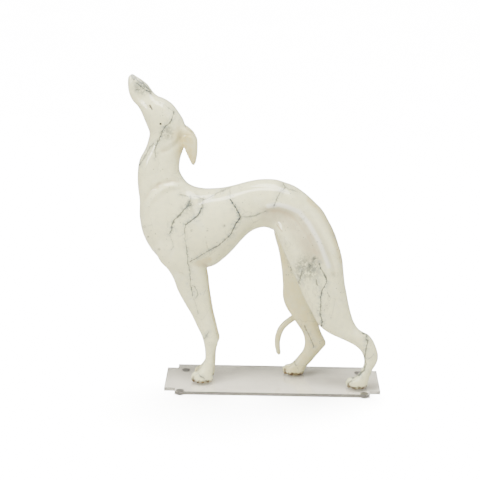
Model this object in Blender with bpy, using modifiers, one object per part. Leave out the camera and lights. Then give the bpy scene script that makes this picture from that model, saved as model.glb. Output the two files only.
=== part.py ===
# Greyhound statue: a cast resin greyhound with its nose in the air, on a clear acrylic base
# with notched corners and four small round pads.
# Metres, +Z up. The dog faces -X, and the pads stand on z = 0 below the middle of the whole.

import math

import bmesh
import bpy
import numpy as np
from mathutils import Matrix, Vector

mm = 0.001
gap = 0.3 * mm

# Acrylic base
base_length = 372 * mm
base_depth = 147 * mm
base_thickness = 6 * mm
base_notch = 19 * mm
base_edge_round = 0.5 * mm

# Round pads under the base
pad_diameter = 14 * mm
pad_height = 2.4 * mm
pad_edge_round = 0.5 * mm
front_pads_from_notch = 9 * mm
front_pads_from_edge = 11 * mm
back_pads_from_notch = 14 * mm
back_pads_from_edge = 25 * mm

# Greyhound: its profile is drawn on a grid of this many steps from the soles to the nose
figure_height = 533 * mm
drawn_height = 533
grid = figure_height / drawn_height
figure_across = -3 * mm
nose_reach = 250.6

# Fineness of the casting
voxel = 2.3 * mm
ring_points = 32
ring_spacing = 5
triangle_limit = 8200
relax_passes = 10
settle_passes = 3

pad_top = pad_height
base_bottom = pad_top + gap
base_top = base_bottom + base_thickness
sole_level = base_top + gap
# The nose hangs out past the base, so the middle of the whole lies ahead of the base's middle.
base_middle = (nose_reach * grid - base_length / 2) / 2

# Every section of the body runs from its crest, on the back or on the front of a leg, to its
# underside, as the side view shows them. Then come its half width, how far it lies from the
# middle of the body, and how square it is, where 2 is an ellipse.
head_neck_and_trunk = {
    "nose": ((-243, 534.5), (-250, 528.5), 5, 0, 2.2),
    "nostril": ((-237, 530.5), (-250.4, 518.5), 8, 0, 2.2),
    "lip": ((-228, 525), (-249.6, 507), 9.5, 0, 2.3),
    "muzzle": ((-217.5, 517), (-246.5, 496.5), 11, 0, 2.3),
    "bridge": ((-208.8, 505.2), (-241, 487), 13, 0, 2.3),
    "stop": ((-201.4, 497.6), (-233.5, 479.5), 17, 0, 2.3),
    "brow": ((-190, 493.1), (-227.5, 469), 21, 0, 2.3),
    "skull": ((-176.2, 484.2), (-222.5, 457), 23.5, 0, 2.3),
    "ears": ((-164.6, 469.6), (-218, 446), 24, 0, 2.3),
    "nape": ((-155.2, 453.4), (-214, 434), 23, 0, 2.3),
    "throat": ((-152.5, 438), (-216, 423), 22.5, 0, 2.4),
    "upper neck": ((-154.5, 416), (-220.8, 408), 22.5, 0, 2.5),
    "mid neck": ((-162, 390), (-231.5, 386), 23.5, 0, 2.6),
    "low neck": ((-162.5, 368), (-234.5, 357), 25.5, 0, 2.6),
    "neck root": ((-156, 356), (-233.5, 338), 27.5, 0, 2.5),
    "collar": ((-149, 348), (-231, 318), 30.5, 0, 2.4),
    "breast": ((-137, 342), (-231, 289), 34.5, 0, 2.3),
    "shoulder": ((-124, 339.5), (-224.5, 258), 38.5, 0, 2.3),
    "point of shoulder": ((-111, 339.5), (-201, 220), 41.5, 0, 2.2),
    "keel": ((-98, 340.5), (-172, 200), 42.5, 0, 2.1),
    "elbows": ((-87, 342), (-143, 198), 42.5, 0, 2.1),
    "ribs": ((-76, 344.5), (-121, 200), 41.5, 0, 2.1),
    "back ribs": ((-65, 347.5), (-104, 205), 40, 0, 2.1),
    "last rib": ((-52, 351.5), (-87, 217.5), 37, 0, 2.1),
    "tuck": ((-38, 355), (-72, 232.5), 34, 0, 2.1),
    "loin": ((-25, 357), (-57, 250.5), 32, 0, 2.1),
    "waist": ((-12, 357.5), (-44, 264), 31, 0, 2.1),
    "flank": ((2, 356.5), (-30, 272), 31, 0, 2.1),
    "hips": ((15, 352.5), (-17, 274.5), 32, 0, 2.1),
    "croup": ((31, 347), (-2, 269), 33.5, 0, 2.1),
    "rump": ((49, 335.5), (15, 263), 34, 0, 2.1),
    "seat": ((67.5, 319), (33, 251), 33, 0, 2.1),
    "tail root": ((84, 302), (50, 236), 30, 0, 2.1),
    "buttock": ((94, 284), (66, 216), 25, 0, 2.1),
    "fork": ((103, 265), (80, 203), 18, 0, 2.0),
}

near_hind_leg = {
    "haunch": ((16, 325), (74, 303), 15, 12, 2.0),
    "hip joint": ((2, 304), (95, 274), 21, 17, 2.1),
    "top of thigh": ((-2, 282), (108, 252), 23.5, 21, 2.2),
    "thigh": ((10, 252), (115.5, 227), 23.5, 24, 2.2),
    "mid thigh": ((22, 226), (118.5, 204), 22.5, 25.5, 2.2),
    "lower thigh": ((33, 201), (121, 184), 21, 27, 2.2),
    "back of thigh": ((44, 176), (125, 165), 19.5, 28.5, 2.2),
    "above stifle": ((55, 152), (128.5, 148), 18, 29.5, 2.2),
    "stifle": ((67, 130), (133, 131), 16.5, 30.5, 2.2),
    "below stifle": ((79, 109.5), (138.5, 116), 15, 31, 2.2),
    "second thigh": ((94, 97.5), (145.5, 105.5), 13.5, 31.5, 2.1),
    "gaskin": ((111, 89.5), (154.5, 99), 12.5, 32, 2.1),
    "above hock": ((128, 82), (164, 94.5), 11.5, 32.5, 2.1),
    "hock front": ((141, 75), (172, 84.5), 10.5, 33, 2.2),
    "hock": ((151, 66), (178.5, 69.5), 10.5, 33, 2.3),
    "hock back": ((156.5, 54), (181.5, 55), 10.5, 33, 2.3),
    "below hock": ((157, 42), (178.5, 43), 10, 33.5, 2.2),
    "metatarsus": ((151, 28), (173, 34), 9.5, 34, 2.2),
    "pastern": ((142, 17.5), (168.5, 22.5), 10.5, 34, 2.2),
    "sole": ((134, 6), (165, 8), 12.5, 34, 2.2),
}

far_hind_leg = {
    "haunch": ((16, 325), (74, 303), 15, 12, 2.0),
    "hip joint": ((0, 298), (94, 272), 21, 17, 2.1),
    "top of thigh": ((-3, 264), (104, 247), 23, 22, 2.2),
    "thigh": ((6.5, 230), (104, 225), 22, 25, 2.2),
    "mid thigh": ((12.5, 197), (98, 202), 20.5, 27, 2.2),
    "lower thigh": ((15.5, 167), (90, 177), 19, 28.5, 2.2),
    "above stifle": ((16.5, 141), (82, 151), 17.5, 29.5, 2.2),
    "stifle": ((22, 124), (77, 129), 16, 30.5, 2.2),
    "below stifle": ((32.5, 107.5), (76, 110), 14.5, 31, 2.2),
    "second thigh": ((42.5, 92), (80, 93.5), 13, 31.5, 2.1),
    "gaskin": ((51, 79), (84.5, 79), 12, 32, 2.1),
    "above hock": ((55.5, 66), (90, 67.5), 11, 32.5, 2.2),
    "hock": ((56, 54), (94, 57), 10.5, 32.5, 2.3),
    "below hock": ((53, 43.5), (86.5, 46), 10, 33, 2.2),
    "metatarsus": ((46, 33.5), (77, 34), 9.5, 33.5, 2.2),
    "low metatarsus": ((39.5, 25), (69, 23.5), 10, 34, 2.2),
    "pastern": ((32, 17), (61.5, 15), 11.5, 34, 2.2),
    "sole": ((27, 6), (57, 6), 12.5, 34, 2.2),
}

foreleg = {
    "shoulder": ((-207, 268), (-130, 272), 15, 21, 2.2),
    "upper arm": ((-204, 240), (-124, 243), 18, 22, 2.2),
    "elbow": ((-195, 215), (-119, 215), 17.5, 21, 2.2),
    "below elbow": ((-182, 202), (-116.5, 197), 15.5, 19.5, 2.2),
    "forearm": ((-173, 187), (-114, 180), 14, 18.5, 2.2),
    "mid forearm": ((-165, 165), (-112, 160), 12.5, 18, 2.2),
    "thin forearm": ((-152.5, 141), (-109, 139.5), 11.5, 17.5, 2.2),
    "above wrist": ((-141, 121), (-105.5, 118.5), 10.5, 17, 2.2),
    "wrist top": ((-130, 97.5), (-100.5, 97), 10, 16.5, 2.3),
    "wrist": ((-122.5, 81.5), (-97, 81), 10, 16.5, 2.3),
    "back of wrist": ((-119, 68), (-94.5, 71), 9.5, 16.5, 2.3),
    "metacarpus": ((-117, 53), (-99.5, 56), 8.5, 16.5, 2.3),
    "low metacarpus": ((-117.5, 39), (-101.5, 42), 8.5, 16.5, 2.2),
    "pastern": ((-122.5, 27), (-102, 30), 9.5, 16.5, 2.2),
    "paw": ((-130, 16), (-103, 18), 11.5, 16.5, 2.2),
    "sole": ((-132, 5), (-104, 6), 12, 16.5, 2.2),
}

ear = {
    "root": ((-176, 444), (-160, 453), 5.5, 12, 2.0),
    "fold": ((-165, 435), (-148.5, 445.5), 6, 14, 2.0),
    "turn": ((-159, 426), (-138, 436), 5.5, 15.5, 2.0),
    "flap": ((-156.5, 415.5), (-132.5, 423), 4.6, 16, 2.0),
    "mid flap": ((-152, 404), (-131.5, 408), 4.2, 16, 2.0),
    "low flap": ((-147.5, 394), (-132.5, 395.5), 3.8, 15.5, 2.0),
    "tip": ((-143, 384.5), (-136, 384.5), 3, 15, 2.0),
}

# Side view place, distance from the middle and radius
tail = {
    "root": (88, 280, 0, 10),
    "dock": (99.5, 250, 4, 9.5),
    "behind the seat": (108.5, 217, 9, 8),
    "behind the thigh": (112, 182, 20, 7),
    "turn": (102, 150, 38, 6.5),
    "across the thigh": (82, 125, 49, 6),
    "past the thigh": (56, 108, 52, 5.6),
    "hook": (32, 94.5, 52, 5.8),
    "hook bend": (15, 78, 50, 5.8),
    "hook end": (9, 56, 47, 5.6),
    "tip": (11, 32.5, 45, 3.6),
}

# The far foreleg stands this much further back at its foot
far_foreleg_back = 3

# Paws: toe and heel in the side view, side of the body and distance from its middle
paws = {
    "near fore": (-141.5, -103, -1, 16.5),
    "far fore": (-137, -101, 1, 16.5),
    "near hind": (126.5, 165, -1, 34),
    "far hind": (18, 57, 1, 34),
}
toes = 4
toe_pitch = 6.4
toe_length = 21
toe_width = 8.4
toe_height = 17
toe_stagger = 8

# Carving on the flanks, as strokes in the side view: height, breadth and points
ridges = {
    "shoulder blade": (2.4, 4.2, ((-225, 280), (-218, 305), (-206, 328), (-191, 342), (-173, 348),
                                  (-154, 346), (-138, 338))),
    "haunch": (2.8, 6, ((-12, 312), (6, 320), (27, 320), (43, 312), (57, 299), (68, 282), (77, 260),
                        (86, 235), (94, 206))),
    "cheek": (1.2, 5, ((-186, 466), (-173, 458), (-168, 443), (-173, 430), (-184, 421))),
    "wrist": (0.7, 5, ((-117, 82), (-106, 74), (-98, 72))),
}
grooves = {
    "neck and shoulder": (1.8, 3.6, ((-234, 298), (-224, 321), (-211, 339), (-195, 352),
                                     (-175, 357), (-158, 354), (-145, 345))),
    "along the back": (1.5, 4.5, ((-120, 326), (-96, 327), (-74, 333), (-52, 342), (-30, 347),
                                  (-6, 350), (12, 345))),
    "below the haunch": (3, 10, ((22, 303), (38, 296), (51, 280), (60, 260), (68, 236))),
    "fold of the flank": (1.8, 4, ((-4, 296), (4, 288), (14, 275))),
    "neck plane": (1.2, 6, ((-199, 412), (-202, 384), (-202, 356), (-196, 340))),
    "brow": (0.9, 2.6, ((-197, 491), (-187, 484), (-175, 472))),
    "mouth": (0.8, 2.4, ((-243, 508), (-233, 498), (-224, 487), (-214, 480))),
    "behind the jaw": (1.6, 5, ((-160, 434), (-168, 423), (-179, 413), (-194, 407))),
    "armpit": (2.5, 8, ((-135, 214), (-122, 208), (-110, 204))),
}

# Where limbs run into the body the casting is filled softly: place, radius and passes
fillets = {
    "armpit": (-128, 206, 24, 10),
    "breast": (-190, 222, 24, 12),
    "groin": (2, 268, 26, 14),
    "seat": (96, 262, 30, 14),
    "fork": (66, 190, 30, 6),
    "ear root": (-156, 450, 9, 4),
    "haunch": (40, 310, 50, 12),
    "shoulder": (-160, 270, 55, 10),
}


def material(name, colour, roughness, transmission=0.0, index=1.5, coat=0.0):
    made = bpy.data.materials.new(name)
    made.use_nodes = True
    shader = made.node_tree.nodes["Principled BSDF"]
    shader.inputs["Base Color"].default_value = (*colour, 1)
    shader.inputs["Roughness"].default_value = roughness
    shader.inputs["Metallic"].default_value = 0
    shader.inputs["Transmission Weight"].default_value = transmission
    shader.inputs["IOR"].default_value = index
    shader.inputs["Coat Weight"].default_value = coat
    made.diffuse_color = (*colour, 1)
    return made


def curve_through(rows, spacing):
    # A smooth curve through rows of numbers, the first two of which are a place in the side view
    rows = np.array(rows, dtype=float)
    steps = np.linalg.norm(np.diff(rows[:, :2], axis=0), axis=1)
    along = np.concatenate([[0], np.cumsum(steps)])
    slopes = np.gradient(rows, along, axis=0)
    spots = np.linspace(0, along[-1], max(2, round(along[-1] / spacing)) + 1)
    span = np.clip(np.searchsorted(along, spots, side="right") - 1, 0, len(rows) - 2)
    length = (along[span + 1] - along[span])[:, None]
    t = (spots - along[span])[:, None] / length
    start = (1 + 2 * t) * (1 - t) ** 2 * rows[span] + t * (1 - t) ** 2 * length * slopes[span]
    finish = t * t * (3 - 2 * t) * rows[span + 1] - t * t * (1 - t) * length * slopes[span + 1]
    return start + finish


def skin(form, rings):
    # Closes a row of equal rings into one tube
    loops = [[form.verts.new(point) for point in ring] for ring in rings]
    for lower, upper in zip(loops, loops[1:]):
        for i in range(len(lower)):
            j = (i + 1) % len(lower)
            form.faces.new((lower[i], lower[j], upper[j], upper[i]))
    form.faces.new(reversed(loops[0]))
    form.faces.new(loops[-1])


def superellipse(points, square):
    turn = np.arange(points) * 2 * math.pi / points
    up = np.sign(np.cos(turn)) * np.abs(np.cos(turn)) ** (2 / square)
    out = np.sign(np.sin(turn)) * np.abs(np.sin(turn)) ** (2 / square)
    return up, out


def limb(form, sections, side=1, foot_back=0):
    # Lofts the sections, on the side of the body that the sign tells
    highest = max(crest[1] for crest, *_ in sections.values())
    rows = []
    for crest, under, half, aside, square in sections.values():
        middle = ((crest[0] + under[0]) / 2, (crest[1] + under[1]) / 2)
        reach = ((crest[0] - under[0]) / 2, (crest[1] - under[1]) / 2)
        rows.append((*middle, *reach, half, aside, square))
    rings = []
    for x, z, reach_x, reach_z, half, aside, square in curve_through(rows, ring_spacing):
        up, out = superellipse(ring_points, square)
        across = side * aside + half * out
        x += foot_back * (1 - z / highest)
        rings.append(np.column_stack([x + reach_x * up, across, z + reach_z * up]))
    skin(form, rings)


def tail_tube(form):
    points = curve_through(list(tail.values()), ring_spacing)
    spine = np.column_stack([points[:, 0], points[:, 2], points[:, 1]])
    heading = np.gradient(spine, axis=0)
    rings = []
    for place, ahead, radius in zip(spine, heading, points[:, 3]):
        frame = Vector(ahead).to_track_quat("Z", "Y").to_matrix()
        turn = np.arange(ring_points) * 2 * math.pi / ring_points
        ring = np.column_stack([np.cos(turn), np.sin(turn), np.zeros(ring_points)]) * radius
        rings.append(place + ring @ np.array(frame).T)
    skin(form, rings)


def ball(form, place, radii, lean=0.0):
    size = Matrix.Diagonal((*radii, 1))
    turn = Matrix.Rotation(lean, 4, "Y")
    spot = Matrix.Translation(place)
    bmesh.ops.create_uvsphere(
        form, u_segments=20, v_segments=14, radius=1, matrix=spot @ turn @ size
    )


def paw(form, toe, heel, side, aside):
    long = heel - toe
    middle = side * aside
    ball(form, (toe + 0.62 * long, middle, 6), (0.38 * long, 13, 11))
    for number in range(toes):
        offset = number - (toes - 1) / 2
        back = toe_stagger * (abs(offset) - 0.5)
        place = (toe + toe_length / 2 + back, middle + offset * toe_pitch, 5.5)
        ball(form, place, (toe_length / 2, toe_width / 2, toe_height / 2), math.radians(-24))


def casting():
    form = bmesh.new()
    limb(form, head_neck_and_trunk)
    limb(form, near_hind_leg, -1)
    limb(form, far_hind_leg, 1)
    limb(form, foreleg, -1)
    limb(form, foreleg, 1, far_foreleg_back)
    limb(form, ear, -1)
    limb(form, ear, 1)
    tail_tube(form)
    for toe, heel, side, aside in paws.values():
        paw(form, toe, heel, side, aside)
    bmesh.ops.recalc_face_normals(form, faces=form.faces)
    spot = Matrix.Translation((base_middle, figure_across, sole_level))
    form.transform(spot @ Matrix.Scale(grid, 4))
    mesh = bpy.data.meshes.new("greyhound")
    form.to_mesh(mesh)
    form.free()
    return mesh


def evaluated_copy(item):
    depsgraph = bpy.context.evaluated_depsgraph_get()
    return bpy.data.meshes.new_from_object(item.evaluated_get(depsgraph))


def swap_mesh(item, mesh):
    old = item.data
    item.modifiers.clear()
    item.data = mesh
    bpy.data.meshes.remove(old)


def places_of(mesh):
    flat = np.empty(len(mesh.vertices) * 3, dtype=np.float32)
    mesh.vertices.foreach_get("co", flat)
    return flat.reshape(-1, 3).astype(float)


def put_places(mesh, places):
    mesh.vertices.foreach_set("co", places.astype(np.float32).ravel())
    mesh.update()


def normals_of(mesh):
    flat = np.empty(len(mesh.vertices) * 3, dtype=np.float32)
    mesh.vertex_normals.foreach_get("vector", flat)
    return flat.reshape(-1, 3).astype(float)


def edges_of(mesh):
    flat = np.empty(len(mesh.edges) * 2, dtype=np.int32)
    mesh.edges.foreach_get("vertices", flat)
    return flat.reshape(-1, 2)


def toward_neighbours(places, edges, count):
    total = np.zeros_like(places)
    for first, second in ((0, 1), (1, 0)):
        for axis in range(3):
            total[:, axis] += np.bincount(
                edges[:, first], weights=places[edges[:, second], axis], minlength=len(places)
            )
    return total / count[:, None] - places


def relax(mesh, passes, weight=None, keep_volume=True):
    # Evens the surface. A push back out after each pull keeps thin parts from shrinking.
    places = places_of(mesh)
    edges = edges_of(mesh)
    count = np.bincount(edges.ravel(), minlength=len(places))
    share = np.ones(len(places)) if weight is None else weight
    for _ in range(passes):
        places += 0.5 * share[:, None] * toward_neighbours(places, edges, count)
        if keep_volume:
            places -= 0.53 * share[:, None] * toward_neighbours(places, edges, count)
    put_places(mesh, places)


def side_view(places):
    # Places on the drawing's grid, seen from the side
    return (places[:, [0, 2]] - (base_middle, sole_level)) / grid


def distance_to(stroke, places):
    stroke = curve_through(stroke, 4)
    best = np.full(len(places), np.inf)
    for start, finish in zip(stroke, stroke[1:]):
        run = finish - start
        share = np.clip((places - start) @ run / (run @ run), 0, 1)
        best = np.minimum(best, np.linalg.norm(places - start - share[:, None] * run, axis=1))
    return best


def carve(mesh):
    places = places_of(mesh)
    normals = normals_of(mesh)
    flat = side_view(places)
    facing = np.clip(np.abs(normals[:, 1]) * 1.6 - 0.4, 0, 1)
    lift = np.zeros(len(places))
    for strokes, sign in ((ridges, 1), (grooves, -1)):
        for height, breadth, points in strokes.values():
            lift += sign * height * np.exp(-((distance_to(points, flat) / breadth) ** 2))
    put_places(mesh, places + normals * (lift * facing * grid)[:, None])


def fill_softly(mesh):
    flat = side_view(places_of(mesh))
    for x, z, radius, passes in fillets.values():
        away = np.linalg.norm(flat - (x, z), axis=1) / radius
        relax(mesh, round(passes), np.clip(1 - away * away, 0, 1), keep_volume=False)


def flat_soles(mesh):
    form = bmesh.new()
    form.from_mesh(mesh)
    cut = bmesh.ops.bisect_plane(
        form,
        geom=form.verts[:] + form.edges[:] + form.faces[:],
        dist=1e-6,
        plane_co=(0, 0, sole_level),
        plane_no=(0, 0, 1),
        clear_inner=True,
    )
    rim = [part for part in cut["geom_cut"] if isinstance(part, bmesh.types.BMEdge)]
    bmesh.ops.holes_fill(form, edges=rim, sides=0)
    bmesh.ops.triangulate(form, faces=form.faces)
    bmesh.ops.recalc_face_normals(form, faces=form.faces)
    form.to_mesh(mesh)
    form.free()


def greyhound(home):
    item = bpy.data.objects.new("greyhound", casting())
    home.objects.link(item)
    remesh = item.modifiers.new("one casting", "REMESH")
    remesh.mode = "VOXEL"
    remesh.voxel_size = voxel
    swap_mesh(item, evaluated_copy(item))
    relax(item.data, relax_passes)
    fill_softly(item.data)
    carve(item.data)
    relax(item.data, settle_passes)
    triangles = sum(len(face.vertices) - 2 for face in item.data.polygons)
    fewer = item.modifiers.new("fewer faces", "DECIMATE")
    fewer.ratio = triangle_limit / triangles
    fewer.use_collapse_triangulate = True
    swap_mesh(item, evaluated_copy(item))
    flat_soles(item.data)
    item.data.shade_smooth()
    item.data.materials.append(material("ivory resin", (0.74, 0.71, 0.62), 0.16, coat=0.5))
    return item


def acrylic_base(home):
    half_x = base_length / 2
    half_y = base_depth / 2
    corner = (
        (half_x, half_y - base_notch),
        (half_x - base_notch, half_y - base_notch),
        (half_x - base_notch, half_y),
    )
    outline = []
    for side_x, side_y, order in ((1, 1, 1), (-1, 1, -1), (-1, -1, 1), (1, -1, -1)):
        outline += [(side_x * x, side_y * y, 0) for x, y in corner[::order]]
    curve = bpy.data.curves.new("acrylic_base", "CURVE")
    curve.dimensions = "2D"
    curve.fill_mode = "BOTH"
    curve.extrude = base_thickness / 2
    spline = curve.splines.new("POLY")
    spline.points.add(len(outline) - 1)
    for point, place in zip(spline.points, outline):
        point.co = (*place, 1)
    spline.use_cyclic_u = True
    item = bpy.data.objects.new("acrylic_base", curve)
    home.objects.link(item)
    item.location = (base_middle, 0, base_bottom + base_thickness / 2)
    weld = item.modifiers.new("close the plate", "WELD")
    weld.merge_threshold = 1e-5
    edges = item.modifiers.new("polished edges", "BEVEL")
    edges.width = base_edge_round
    edges.segments = 2
    edges.limit_method = "ANGLE"
    edges.angle_limit = math.radians(40)
    curve.materials.append(material("clear acrylic", (0.93, 0.94, 0.93), 0.04, 1.0, 1.49))
    return item


def base_pads(home):
    rubber = material("dark rubber", (0.12, 0.10, 0.09), 0.6)
    rows = (
        ("front", -1, front_pads_from_notch, front_pads_from_edge),
        ("back", 1, back_pads_from_notch, back_pads_from_edge),
    )
    for row, side_y, from_notch, from_edge in rows:
        for end, side_x in (("left", -1), ("right", 1)):
            reach_x = base_length / 2 - base_notch - from_notch
            reach_y = base_depth / 2 - from_edge
            bpy.ops.mesh.primitive_cylinder_add(
                vertices=32, radius=pad_diameter / 2, depth=pad_height
            )
            item = bpy.context.object
            item.name = f"pad_{row}_{end}"
            item.data.name = item.name
            item.location = (base_middle + side_x * reach_x, side_y * reach_y, pad_height / 2)
            bevel = item.modifiers.new("soft rim", "BEVEL")
            bevel.width = pad_edge_round
            bevel.segments = 1
            bevel.limit_method = "ANGLE"
            item.data.shade_smooth()
            item.data.set_sharp_from_angle(angle=math.radians(40))
            item.data.materials.append(rubber)
            for other in item.users_collection:
                other.objects.unlink(item)
            home.objects.link(item)


def build():
    for item in list(bpy.data.objects):
        bpy.data.objects.remove(item)
    home = bpy.data.collections.new("greyhound_statue")
    bpy.context.scene.collection.children.link(home)
    acrylic_base(home)
    base_pads(home)
    greyhound(home)


build()
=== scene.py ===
import math

import bmesh
import bpy
import numpy as np
from mathutils import Matrix, Vector


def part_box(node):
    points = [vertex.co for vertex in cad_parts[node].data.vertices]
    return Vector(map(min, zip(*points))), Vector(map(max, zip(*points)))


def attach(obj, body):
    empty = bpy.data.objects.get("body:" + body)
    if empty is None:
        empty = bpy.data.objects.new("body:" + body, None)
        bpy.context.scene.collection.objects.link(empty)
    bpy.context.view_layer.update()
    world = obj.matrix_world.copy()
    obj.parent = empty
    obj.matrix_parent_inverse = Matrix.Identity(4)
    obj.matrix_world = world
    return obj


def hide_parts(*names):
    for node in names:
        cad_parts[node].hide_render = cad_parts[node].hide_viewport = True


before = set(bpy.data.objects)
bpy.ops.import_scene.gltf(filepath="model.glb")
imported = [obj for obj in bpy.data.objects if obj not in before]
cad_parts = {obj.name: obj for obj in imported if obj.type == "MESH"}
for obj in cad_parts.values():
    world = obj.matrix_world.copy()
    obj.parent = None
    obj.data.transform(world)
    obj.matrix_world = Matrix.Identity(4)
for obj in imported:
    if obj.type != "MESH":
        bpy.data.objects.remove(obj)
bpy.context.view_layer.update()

mm = 0.001

plateLow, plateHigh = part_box("acrylic_base")
plateMiddle = (plateLow.x + plateHigh.x) / 2
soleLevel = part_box("greyhound")[0].z


class Wire:
    # one output of a shader tree; sums written with it add Math nodes
    def __init__(self, paint, socket):
        self.paint = paint
        self.socket = socket

    def maths(self, operation, first, second):
        return self.paint.add("ShaderNodeMath", {"operation": operation}, {0: first, 1: second})

    def __add__(self, other):
        return self.maths("ADD", self, other)

    def __radd__(self, other):
        return self.maths("ADD", other, self)

    def __sub__(self, other):
        return self.maths("SUBTRACT", self, other)

    def __rsub__(self, other):
        return self.maths("SUBTRACT", other, self)

    def __mul__(self, other):
        return self.maths("MULTIPLY", self, other)

    def __rmul__(self, other):
        return self.maths("MULTIPLY", other, self)

    def larger(self, other):
        return self.maths("MAXIMUM", self, other)

    def smaller(self, other):
        return self.maths("MINIMUM", self, other)

    def size(self):
        return self.maths("ABSOLUTE", self, 0)

    def kept(self):
        return self.paint.add("ShaderNodeClamp", {}, {0: self})   # held between 0 and 1

    def between(self, low, high, start=0.0, end=1.0):
        # goes softly from start to end while this value goes from low to high
        return self.paint.add(
            "ShaderNodeMapRange", {"interpolation_type": "SMOOTHSTEP"},
            {0: self, 1: low, 2: high, 3: start, 4: end},
        )


class Paint:
    def __init__(self, name):
        self.material = bpy.data.materials.new(name)
        self.material.use_nodes = True
        self.tree = self.material.node_tree
        self.shader = self.tree.nodes["Principled BSDF"]

    def add(self, kind, settings=None, sockets=None, out=0):
        node = self.tree.nodes.new(kind)
        for key, value in (settings or {}).items():
            setattr(node, key, value)
        for key, value in (sockets or {}).items():
            self.feed(node.inputs[key], value)
        return Wire(self, node.outputs[out])

    def feed(self, socket, value):
        if isinstance(value, Wire):
            self.tree.links.new(value.socket, socket)
        else:
            socket.default_value = value

    def vector(self, operation, first, second, out=0):
        return self.add("ShaderNodeVectorMath", {"operation": operation}, {0: first, 1: second}, out)

    def scaled(self, vector, share):
        return self.add("ShaderNodeVectorMath", {"operation": "SCALE"}, {0: vector, "Scale": share})

    def attribute(self, name):
        return self.add("ShaderNodeAttribute", {"attribute_name": name}, out=2)

    def noise(self, place, scale, detail=3.0, roughness=0.5, out=0):
        sockets = {"Vector": place, "Scale": scale, "Detail": detail, "Roughness": roughness}
        return self.add("ShaderNodeTexNoise", {}, sockets, out)

    def drift(self, place, scale, detail, roughness):
        # a noise in all three directions, around nought
        wander = self.noise(place, scale, detail, roughness, 1)
        return self.vector("SUBTRACT", wander, (0.5, 0.5, 0.5))

    def blend(self, share, first, second):
        def four(colour):
            return colour if isinstance(colour, Wire) else (*colour, 1)
        sockets = {0: share, 6: four(first), 7: four(second)}
        return self.add("ShaderNodeMix", {"data_type": "RGBA"}, sockets, 2)

    def finish(self, **values):
        for key, value in values.items():
            self.feed(self.shader.inputs[key.replace("_", " ")], value)
        return self.material


# the greyhound is drawn in millimetres, to the side of the plate's middle and up from the soles
greyhoundSettings = {
    "across": -3,            # the body's middle plane, mm from the plate's
    "voxel": 2.45,
    "quickVoxel": 3.0,
    "ringPoints": 48,
    "ringSpacing": 4,
    "ballSegments": (28, 20),
    "evenPasses": 14,        # softening of the joined form
    "carvedPasses": 2,       # and of the carving
    "softenPull": 0.5,
    "softenPush": 0.53,      # against shrinking
    "farForelegBack": 3,
    "carveGain": 1.6,        # carving fades where the surface turns away from the side
    "carveOff": 0.4,
    "stepLead": 2,           "stepEdge": 7,
    "stepStart": 0.12,       # shares of its length over which it begins and ends
    "stepEnd": 0.2,
    "pressFacing": 0.15,
    "pawMiddle": 0.62,       # shares of the paw's length
    "pawHalf": 0.38,
    "pawHeight": 6,
    "pawSize": (13, 11),
    "pawReach": 14,
    "toes": 4,
    "toePitch": 6.4,
    "toeLength": 21,
    "toeWidth": 8.4,
    "toeHeight": 20,
    "toeMiddle": 7.5,
    "toeStagger": 8,
    "toeLean": -28,          # degrees
    "creaseWidth": 1.2,
    "creaseDepth": 1.5,
    "creaseLength": 24,
    "finerPaw": (16, 8, 24),     # behind the toe, height and radius of the finer faces
    "insideTop": (275, 30),      # where the painted shade inside the legs starts, and its fade
    "insideFrom": (4, 8),        # the same across the body
    "hollowPull": 0.7,
    "hollowPasses": 70,
    "fineHollowPasses": 6,
    "hollowSoftening": 3,
}

# finer faces for small features: places in the side view and radii
finerSpots = {
    "muzzle": (-228, 505, 38),
    "eye": (-210, 481, 9),
    "cheek dimple": (-194, 454, 5),
    "ear": (-147, 412, 30),
}

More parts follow.
